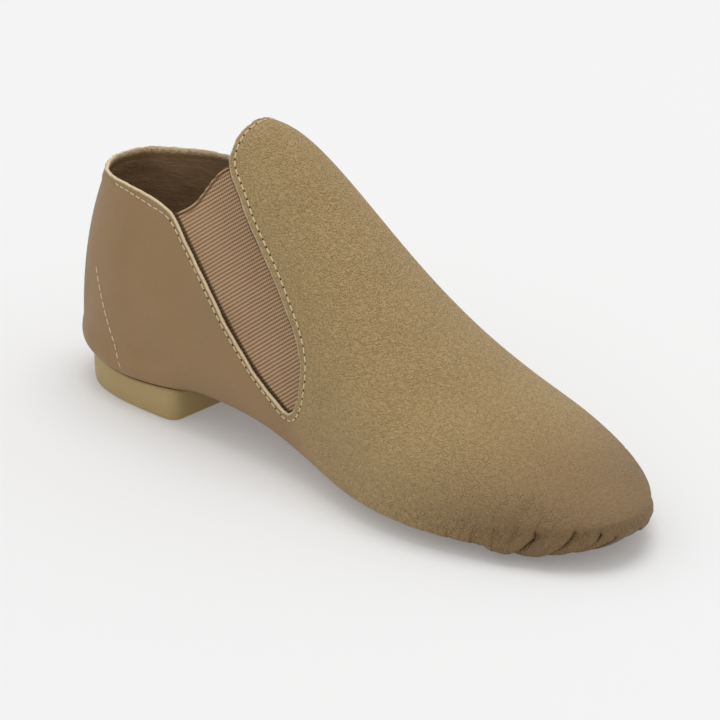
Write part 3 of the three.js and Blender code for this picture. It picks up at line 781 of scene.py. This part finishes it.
def sole_pad():
    plan = pad_outline()
    out, centre = outward(plan), plan[:-1].mean(0)
    rows = [ring(drawn_to(centre, plan, 0), 0)]
    treads = [(drawn_to(centre, plan, share), 0) for share in (0.25, 0.5, 0.7, 0.85)]
    treads += [(plan - out * inset, lift) for inset, lift in PAD_EDGE]
    rows += [ring(outline, tread_heights(outline) + lift) for outline, lift in treads]
    tops = (drawn_to(centre, plan, share) for share in (1.0, 0.9, 0.7, 0.45, 0.2, 0))
    rows += [under_leather(top, SEAT_GAP) for top in tops]
    return block("sole_suede", rows)


pad = sole_pad()

# Sock: a full-length inner sole with a soft rim, turned up a little round the foot
SOCK_OUTSIDE, SOCK_INSIDE = 1.85, 3.4
SOCK_TOP = -0.32


def sock_places():
    turn, level = np.meshgrid(np.linspace(-1, 1, 161), np.linspace(-1, SOCK_TOP, 16), indexing="ij")
    base, normal = on_last(turn, level)
    drawn = waist_draw(turn, level)[..., None]
    outside, inside = base + normal * (drawn - SOCK_OUTSIDE), base + normal * (drawn - SOCK_INSIDE)
    rim = [
        outside[:, -1:] * (1 - share) + inside[:, -1:] * share + [0, 0, 0.5 * math.sin(math.pi * share)]
        for share in (0.25, 0.5, 0.75)
    ]
    return np.concatenate([outside, *rim, inside[:, ::-1]], 1)


sock = block("sock", sock_places())

# Back tab: a small leather patch outside the top of the back seam
TAB_TURN, TAB_LEVELS, TAB_BELOW_EDGE = 0.044, 0.095, 0.012
TAB_STEPS = 21


def back_tab_places():
    rows = []
    up = np.linspace(0, 1, TAB_STEPS)
    for across in np.linspace(-1, 1, 33):
        turn = np.full(TAB_STEPS, across * TAB_TURN)
        top = float(EDGE.level_at(abs(turn[0]))) - TAB_BELOW_EDGE
        level = top - TAB_LEVELS * (1 - up) * (1 - 0.1 * abs(across) ** 4)
        rim = np.minimum(1, np.minimum(1 - abs(across), np.minimum(up, 1 - up)) * 14)
        lift = 0.15 + 0.8 * np.sqrt(1 - (1 - rim) ** 2)
        base, normal = on_last(turn, level)
        rows.append(np.r_[base + normal * lift[:, None], base[::-1] - normal[::-1] * 0.3])
    rows = np.array(rows)
    under = rows[:, TAB_STEPS:][:, ::-1]
    rows[0, :TAB_STEPS], rows[-1, :TAB_STEPS] = under[0], under[-1]
    return np.concatenate([rows, rows[:, :1]], 1)


tab = block("back_tab_leather", back_tab_places())

# Stitches, and small dark discs of painted shade at their needle holes
PITCH, STITCH_LENGTH = 3.05, 2.3
EDGE_THREAD, COLLAR_THREAD, COUNTER_THREAD = 0.6, 0.5, 0.52
SEAM_START, CUT_OUT_START = 0.11, 0.235
threads, hole_shades = bmesh.new(), bmesh.new()


def offset_line(points, normals, insets, side):
    """The line beside the free edge, in on the leather, and its normals"""
    aside = np.cross(unit(np.gradient(points, axis=0)), normals) * -side
    hits = [leather_skin.find_nearest(Vector(place) * MM) for place in points + aside * insets[:, None]]
    return np.array([hit[0] for hit in hits]) / MM, np.array([hit[1] for hit in hits])


def smoothed(rows, rounds):
    for _ in range(rounds):
        rows = np.r_[rows[:1], (rows[:-2] + 2 * rows[1:-1] + rows[2:]) / 4, rows[-1:]]
    return rows


def add_stitch(first, last, normal, thickness):
    """A bar of thread, arched so that its ends sink into the leather"""
    size = np.linalg.norm(last - first)
    ahead = (last - first) / size
    aside = np.cross(normal, ahead)
    middle = (first + last) / 2 + normal * 0.05
    for vert in bmesh.ops.create_uvsphere(threads, u_segments=8, v_segments=6, radius=1)["verts"]:
        wide, high, along = vert.co
        radius = thickness / 2 * min(1.0, (1.001 - abs(along)) * 7) ** 0.5 / max(math.hypot(wide, high), 1e-6)
        arch = 0.13 * (1 - along * along) - 0.1
        round_it = (aside * wide + normal * high * 0.8) * radius
        vert.co = Vector(middle + ahead * along * size / 2 + round_it + normal * arch) * MM


# A flat dark disc sitting on the leather: painted shade where a needle hole is
def add_hole_shade(place, ahead, normal):
    aside = np.cross(normal, ahead)
    for vert in bmesh.ops.create_uvsphere(hole_shades, u_segments=8, v_segments=4, radius=1)["verts"]:
        long, wide, high = vert.co
        dimple = ahead * long * 0.42 + aside * wide * 0.3 + normal * (high * 0.07 + 0.02)
        vert.co = Vector(place + dimple) * MM


def stitch_row(points, normals, thickness, bored=False):
    """Stitches at an even pitch along a line, each with a dark disc of painted shade at its needle hole
    before it where bored
    """
    points = smoothed(points, 6)
    reach = run_of(points)
    count = max(1, round(reach[-1] / PITCH))
    pitch = reach[-1] / count

    def at(distance, rows):
        return np.array([np.interp(distance, reach, rows[:, axis]) for axis in range(3)])

    for number in range(count):
        start = number * pitch
        middle = start + pitch / 2
        first, last = at(middle - STITCH_LENGTH / 2, points), at(middle + STITCH_LENGTH / 2, points)
        add_stitch(first, last, unit(at(middle, normals)), thickness)
        if bored:
            ahead = at(min(start + 0.4, reach[-1]), points) - at(max(start - 0.4, 0), points)
            add_hole_shade(at(start, points), unit(ahead), unit(at(start, normals)))


def sew_side(side):
    """One side's seams: the collar, the gore with the tongue, and the counter"""
    line = EDGE_LINE[:TONGUE_TOP + 1].T * [[side], [1]]
    points, normals = on_last(*line)
    first = int(np.argmax(EDGE_ALONG > SEAM_START))
    corner = int(np.argmax(EDGE_ALONG[first:] > CUT_OUT_START))
    quarter, vamp = (
        offset_line(points[part], normals[part], STITCH_INSET[:TONGUE_TOP + 1][part], side)
        for part in (np.s_[first:EDGE_FOOT], np.s_[EDGE_FOOT:])
    )
    stitch_row(*(rows[:corner] for rows in quarter), COLLAR_THREAD)
    stitch_row(*(np.r_[a[corner:-3], b[6:]] for a, b in zip(quarter, vamp)), EDGE_THREAD, bored=True)
    turn, level = side_turns(side_curve(COUNTER_SEAM, 40))
    on_leather, _ = leather_places(side * turn[:, None], level[:, None], False)
    stitch_row(on_leather[:, 0], last_normals(side * turn, level), COUNTER_THREAD)


sew_side(1)
sew_side(-1)
stitches = finish_mesh("stitches", threads)
stitch_hole_shades = finish_mesh("stitch_hole_shades", hole_shades)


# Materials
def colour(*parts):
    """A screen colour of three parts up to 255, as the linear colour that a shader takes"""
    shares = [part / 255 for part in parts]
    return (*(v / 12.92 if v <= 10 / 255 else ((v + 0.055) / 1.055) ** 2.4 for v in shares), 1.0)


class Nodes:
    def __init__(self, tree):
        self.tree = tree

    def put(self, socket, value):
        if isinstance(value, bpy.types.NodeSocket):
            self.tree.links.new(value, socket)
        else:
            socket.default_value = value

    def add(self, kind, inputs=None, **settings):
        node = self.tree.nodes.new("ShaderNode" + kind)
        for key, value in settings.items():
            setattr(node, key, value)
        for key, value in (inputs or {}).items():
            self.put(node.inputs[key], value)
        return node

    def math(self, operation, *values, clamp=False):
        return self.add("Math", dict(enumerate(values)), operation=operation, use_clamp=clamp).outputs[0]

    def times(self, value, *factors):
        for factor in factors:
            value = self.math("MULTIPLY", value, factor)
        return value

    def scaled(self, value, factor, plus, clamp=False):
        return self.math("MULTIPLY_ADD", value, factor, plus, clamp=clamp)

    def mix(self, share, first, second):
        return self.add("Mix", {0: share, 6: first, 7: second}, data_type="RGBA").outputs[2]

    def patchy(self, share, first, second):
        return self.mix(share, colour(*first), colour(*second))

    def coats(self, tint, *layers):
        for strength, shade in layers:
            tint = self.mix(strength, tint, colour(*shade))
        return tint

    def between(self, value, low, high):
        """0 below low and 1 above high, or the other way round where low is the greater"""
        ends = {"Value": value, "From Min": low, "From Max": high}
        return self.add("MapRange", ends, interpolation_type="SMOOTHSTEP").outputs[0]

    def noise(self, place, scale, detail, rough=0.5, bent=0.0):
        inputs = {"Vector": place, "Scale": scale, "Detail": detail, "Roughness": rough, "Distortion": bent}
        return self.add("TexNoise", inputs).outputs

    def use(self, effect, **inputs):
        return self.add("Group", inputs, node_tree=effect).outputs

    def attributes(self, *names):
        return [self.add("Attribute", attribute_name=name).outputs["Fac"] for name in names]

    def bump(self, shader, height, strength, distance, invert=False):
        made = self.add("Bump", {"Height": height, "Strength": strength, "Distance": distance}, invert=invert)
        self.put(shader["Normal"], made.outputs["Normal"])


def effect(name, inputs, outputs):
    """A shader node group: its nodes, the sockets it is given and the sockets it puts out"""
    tree = bpy.data.node_groups.new(name, "ShaderNodeTree")
    for label, kind in inputs.items():
        tree.interface.new_socket(label, in_out="INPUT", socket_type="NodeSocket" + kind)
    for label in outputs:
        tree.interface.new_socket(label, in_out="OUTPUT", socket_type="NodeSocketFloat")
    given, out = tree.nodes.new("NodeGroupInput").outputs, tree.nodes.new("NodeGroupOutput").inputs
    return Nodes(tree), given, out


def make_leather_grain():
    """Raised cells between fine creases; heights in millimetres"""
    nodes, given, out = effect("leather_grain", {"Vector": "Vector", "Cells": "Float"}, ["Height", "Creases"])
    bend = nodes.noise(given["Vector"], 500.0, 2.0)["Color"]
    shift = nodes.add("VectorMath", {0: bend, 1: (0.5, 0.5, 0.5)}, operation="SUBTRACT").outputs[0]
    small = nodes.add("VectorMath", {0: shift, "Scale": 0.0016}, operation="SCALE").outputs[0]
    moved = nodes.add("VectorMath", {0: given["Vector"], 1: small}, operation="ADD").outputs[0]
    cells = nodes.add("TexVoronoi", {"Vector": moved, "Scale": given["Cells"]}, feature="F1").outputs
    fine = nodes.noise(given["Vector"], 1500.0, 3.0, 0.6)["Fac"]
    domes = nodes.scaled(cells["Distance"], -0.9, nodes.times(fine, 0.3))
    # The creases also darken the vamp's colour: painted shade in the grain's hollows
    creases = nodes.add("MapRange", {"Value": domes, "From Min": -0.2, "From Max": -0.5}).outputs[0]
    nodes.put(out["Height"], domes)
    nodes.put(out["Creases"], creases)
    return nodes.tree


def make_soft_patches():
    nodes, given, out = effect("soft_patches", {"Vector": "Vector", "Scale": "Float"}, ["Value"])
    broad = nodes.noise(given["Vector"], given["Scale"], 5.0, 0.6)["Fac"]
    nodes.put(out["Value"], nodes.scaled(broad, 1.8, -0.4, clamp=True))
    return nodes.tree


def make_grain_mask():
    """Full on the vamp and the tongue, faint on the quarters and less at the toe's tip. The leather's colour
    follows it too: golden where it is full, browner with painted shade where it is faint
    """
    nodes, given, out = effect("grain_mask", {"Vector": "Vector"}, ["Value"])
    parts = nodes.add("SeparateXYZ", {"Vector": given["Vector"]}).outputs
    on_vamp = nodes.between(nodes.scaled(parts["Z"], 0.62, parts["X"]), 0.004, 0.022)
    off_tip = nodes.scaled(nodes.between(parts["X"], 0.055, 0.11), -0.6, 1.0)
    nodes.put(out["Value"], nodes.times(on_vamp, off_tip))
    return nodes.tree


def make_fine_gathers():
    """Fine gathers down to the forefoot's folds, and longer wrinkles beside the ball; in millimetres"""
    nodes, given, out = effect("fine_gathers", {"Share": "Float", "Level": "Float"}, ["Height"])
    share, level = given["Share"], given["Level"]
    slant = nodes.scaled(level, -0.045, share)
    down = nodes.times(level, 5.0)

    def ridges(across, detail):
        spot = nodes.add("CombineXYZ", {"X": nodes.times(slant, across), "Y": down})
        return nodes.noise(spot.outputs[0], 1.0, detail)["Fac"]

    low_band = nodes.times(
        nodes.between(share, 0.52, 0.62), nodes.between(level, 0.26, -0.15),
        nodes.scaled(nodes.between(share, 0.75, 0.85), -0.6, 1.0),
    )
    ball_band = nodes.times(
        nodes.between(share, 0.7, 0.78), nodes.between(share, 0.9, 0.83),
        nodes.between(level, 0.62, 0.4), nodes.between(level, -0.1, 0.1),
    )
    gathers = nodes.times(ridges(300.0, 0.0), low_band, 1.9)
    wrinkles = nodes.times(ridges(230.0, 0.3), ball_band, 0.9)
    nodes.put(out["Height"], nodes.math("ADD", gathers, wrinkles))
    return nodes.tree


LEATHER_GRAIN, SOFT_PATCHES = make_leather_grain(), make_soft_patches()
GRAIN_MASK, FINE_GATHERS = make_grain_mask(), make_fine_gathers()


def material(name, roughness, specular=0.2):
    """A material: itself, its nodes, its shader's inputs and the place on the piece"""
    made = bpy.data.materials.new(name)
    made.use_nodes = True
    nodes = Nodes(made.node_tree)
    shader = made.node_tree.nodes["Principled BSDF"].inputs
    shader["Roughness"].default_value = roughness
    shader["Specular IOR Level"].default_value = specular
    return made, nodes, shader, nodes.add("TexCoord").outputs["Object"]


def leather_material():
    """Tan leather: pebbled and golden on the vamp; smooth and browner behind, partly a redder tone of its own
    and partly painted shade; painted shade low at the toe and in the grain's and the folds' creases; and pale
    along the cut edge, partly edge wear and partly a painted highlight on the rim"""
    made, nodes, shader, place = material("tan_leather", 0.58, 0.3)
    share, level, worn, dark = nodes.attributes("share", "level", "worn", "dark")
    grain = nodes.use(LEATHER_GRAIN, Vector=place, Cells=1420.0)
    patches = nodes.use(SOFT_PATCHES, Vector=place, Scale=28.0)["Value"]
    vamp = nodes.use(GRAIN_MASK, Vector=place)["Value"]
    parts = nodes.add("SeparateXYZ", {"Vector": place}).outputs
    # Painted shade: the leather darkens low down at the toe, where less light reaches
    toe = nodes.times(nodes.between(parts["X"], 0.045, 0.11), nodes.between(parts["Z"], 0.045, 0.01), 0.8)
    fibres = nodes.noise(place, 900.0, 3.0, 0.7)["Fac"]
    ragged = nodes.scaled(nodes.between(fibres, 0.35, 0.65), 0.6, -0.2)
    # Pale band along the cut edge: partly edge wear, partly a painted highlight on the rim
    edge_wear_and_highlight = nodes.times(nodes.between(nodes.math("ADD", worn, ragged), 0.15, 0.95), worn)

    golden = nodes.patchy(patches, (177, 148, 101), (186, 159, 111))
    # Browner behind and low down: partly the leather's redder tone, partly painted shade on the sides
    brown_and_shade = nodes.patchy(patches, (144, 116, 80), (155, 125, 88))
    nodes.put(shader["Base Color"], nodes.coats(
        nodes.mix(vamp, brown_and_shade, golden),
        (toe, (116, 91, 61)),
        # Painted shade in the grain's creases on the vamp
        (nodes.times(grain["Creases"], vamp, 0.16), (110, 84, 50)),
        # Painted shade along the deep folds' creases
        (nodes.times(dark, 0.95), (40, 25, 13)),
        (edge_wear_and_highlight, (226, 205, 166)),
    ))

    gathers = nodes.use(FINE_GATHERS, Share=share, Level=level)["Height"]
    height = nodes.scaled(grain["Height"], nodes.scaled(vamp, 0.88, 0.12), gathers)
    height = nodes.scaled(nodes.times(fibres, worn), 0.7, height)
    waves = nodes.noise(place, 48.0, 0.5, bent=0.15)["Fac"]
    nodes.bump(shader, nodes.scaled(waves, 4.5, height), 1.0, MM)
    return made


def plain_cloth(name, dark, light, scale, strength, rough, distance=0.0002, flow=1):
    """A soft even finish: patches and fuzz between two colours. A flow below 1 draws the fuzz out sideways"""
    made, nodes, shader, place = material(name, rough)
    if flow != 1:
        place = nodes.add("Mapping", {"Vector": place, "Scale": (flow, flow, 1)}).outputs[0]
    patches = nodes.use(SOFT_PATCHES, Vector=place, Scale=120.0)["Value"]
    fuzz = nodes.noise(place, scale, 4.0, 0.7)["Fac"]
    share = nodes.times(nodes.math("ADD", patches, fuzz), 0.5)
    nodes.put(shader["Base Color"], nodes.patchy(share, dark, light))
    nodes.bump(shader, fuzz, strength, distance)
    return made


def elastic_material():
    """Ribbed elastic: close ribs across with painted shade in their grooves, woven columns that show more
    towards the vamp, a band along the top and a painted shadow line beside the leather"""
    made, nodes, shader, place = material("ribbed_elastic", 0.85)
    rib_gap, column_gap = 1.26 * MM, 0.85 * MM
    patches = nodes.use(SOFT_PATCHES, Vector=place, Scale=90.0)["Value"]
    drop, toward, beside = nodes.attributes("drop", "toward", "beside")
    parts = nodes.add("SeparateXYZ", {"Vector": place}).outputs
    down = nodes.scaled(parts["Z"], -0.79, nodes.times(parts["X"], 0.61))
    across = nodes.scaled(parts["Z"], 0.61, nodes.times(parts["X"], 0.79))
    wobble = nodes.noise(place, 140.0, 2.0)["Fac"]

    def waves(way, gap, unevenness):
        phase = nodes.scaled(wobble, unevenness, nodes.times(way, 2 * math.pi / gap))
        return nodes.scaled(nodes.math("SINE", phase), 0.5, 0.5)

    ribs = nodes.math("POWER", waves(down, rib_gap, 2.0), 1.6)
    near_vamp = nodes.between(toward, 0.35, 0.8)
    columns = nodes.times(waves(across, column_gap, 5.0), nodes.scaled(near_vamp, 0.55, 0.2))
    grooves = nodes.math("SUBTRACT", ribs, columns, clamp=True)
    band = nodes.times(nodes.between(drop, 0.5, 0.8), nodes.between(drop, 1.9, 1.5), 0.75)

    nodes.put(shader["Base Color"], nodes.coats(
        nodes.patchy(patches, (184, 150, 116), (196, 162, 126)),
        (nodes.times(near_vamp, 0.5), (158, 128, 96)),
        # Painted shade in the grooves between ribs and columns
        (nodes.times(grooves, nodes.scaled(near_vamp, 0.3, 0.6)), (78, 54, 34)),
        (band, (88, 62, 42)),
        # Painted shadow where the elastic meets the leather
        (nodes.times(nodes.between(beside, 1.3, 0.5), 0.75), (70, 48, 30)),
    ))
    nodes.bump(shader, grooves, 1.0, 0.45 * MM, invert=True)
    return made


leather, elastic = leather_material(), elastic_material()
lining_cloth = plain_cloth("lining_textile", (118, 92, 62), (196, 166, 130), 520.0, 0.9, 0.95, 0.0008, 0.35)
sock_cloth = plain_cloth("sock_textile", (128, 104, 76), (168, 142, 110), 700.0, 0.6, 0.95)
suede = plain_cloth("suede", (110, 92, 68), (140, 118, 88), 1500.0, 0.6, 0.95)
rubber = plain_cloth("tan_rubber", (170, 147, 101), (180, 157, 110), 1800.0, 0.1, 0.5)
hole_shade = plain_cloth("hole_shade", (58, 42, 24), (74, 54, 32), 3000.0, 0.3, 0.9)
thread = plain_cloth("pale_thread", (196, 178, 140), (226, 210, 172), 3000.0, 0.3, 0.8)

# What each piece is made of, its slot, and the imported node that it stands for
PIECES = [
    (upper, leather, "upper_leather", ["upper"]),
    (lining, lining_cloth, "sock_lining", []),
    (gores[0], elastic, "gore_elastic", ["gore_right"]),
    (gores[1], elastic, "gore_elastic", ["gore_left"]),
    (sock, sock_cloth, "sock_lining", ["insole"]),
    (pad, suede, "sole_suede", ["sole_pad"]),
    (heel, rubber, "heel_rubber", ["heel"]),
    (tab, leather, "upper_leather", ["back_tab"]),
    (stitches, thread, "upper_leather", []),
    (stitch_hole_shades, hole_shade, "upper_leather", []),
]
for piece, finish, slot, nodes in PIECES:
    piece.data.materials.append(finish)
    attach(piece, "root")
    if nodes:
        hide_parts(*nodes)

# Floor: pale, and lit a little by itself as a white sweep is
bm = bmesh.new()
bmesh.ops.create_grid(bm, x_segments=1, y_segments=1, size=6)
floor = finish_mesh("floor", bm, smooth=False)
floor_paint, _, shader, _ = material("pale_floor", 0.9, 0.5)
shader["Base Color"].default_value = colour(214, 214, 214)
shader["Emission Color"].default_value = (1, 1, 1, 1)
shader["Emission Strength"].default_value = 0.17
floor.data.materials.append(floor_paint)

# Light: an even white room and one large soft lamp overhead
world = bpy.context.scene.world or bpy.data.worlds.new("studio")
bpy.context.scene.world = world
world.use_nodes = True
room = world.node_tree.nodes["Background"].inputs
room["Color"].default_value = (1, 1, 1, 1)
room["Strength"].default_value = 0.74

lamp_data = bpy.data.lights.new("overhead", "AREA")
lamp_data.shape = "DISK"
lamp_data.size = 1.8
lamp_data.energy = 23
lamp = in_scene("overhead", lamp_data)
lamp.location = (-0.1, 0.3, 2.4)
lamp.rotation_mode = "QUATERNION"
lamp.rotation_quaternion = (-lamp.location).to_track_quat("-Z", "Y")

# Camera: angles in degrees and sizes in millimetres, and the lens as the photograph's own pixels
CAMERA_DISTANCE = 2114
CAMERA_AIM = (-1.114, -MIDDLE_Y, 33.847)
LENS_PIXELS, PICTURE_PIXELS = 6209, 720
turn, rise, roll = (math.radians(angle) for angle in (42.173, 23.47, 0.526))
back = Vector((math.sin(turn) * math.cos(rise), -math.cos(turn) * math.cos(rise), math.sin(rise)))
camera_data = bpy.data.cameras.new("camera")
camera_data.sensor_width = 36
camera_data.lens = camera_data.sensor_width * LENS_PIXELS / PICTURE_PIXELS
camera_data.clip_end = 20
camera = in_scene("camera", camera_data)
camera.location = (Vector(CAMERA_AIM) + back * CAMERA_DISTANCE) * MM
camera.rotation_mode = "QUATERNION"
camera.rotation_quaternion = (-back).to_track_quat("-Z", "Y") @ Matrix.Rotation(roll, 4, "Z").to_quaternion()
bpy.context.scene.camera = camera
bpy.context.scene.view_settings.view_transform = "Standard"
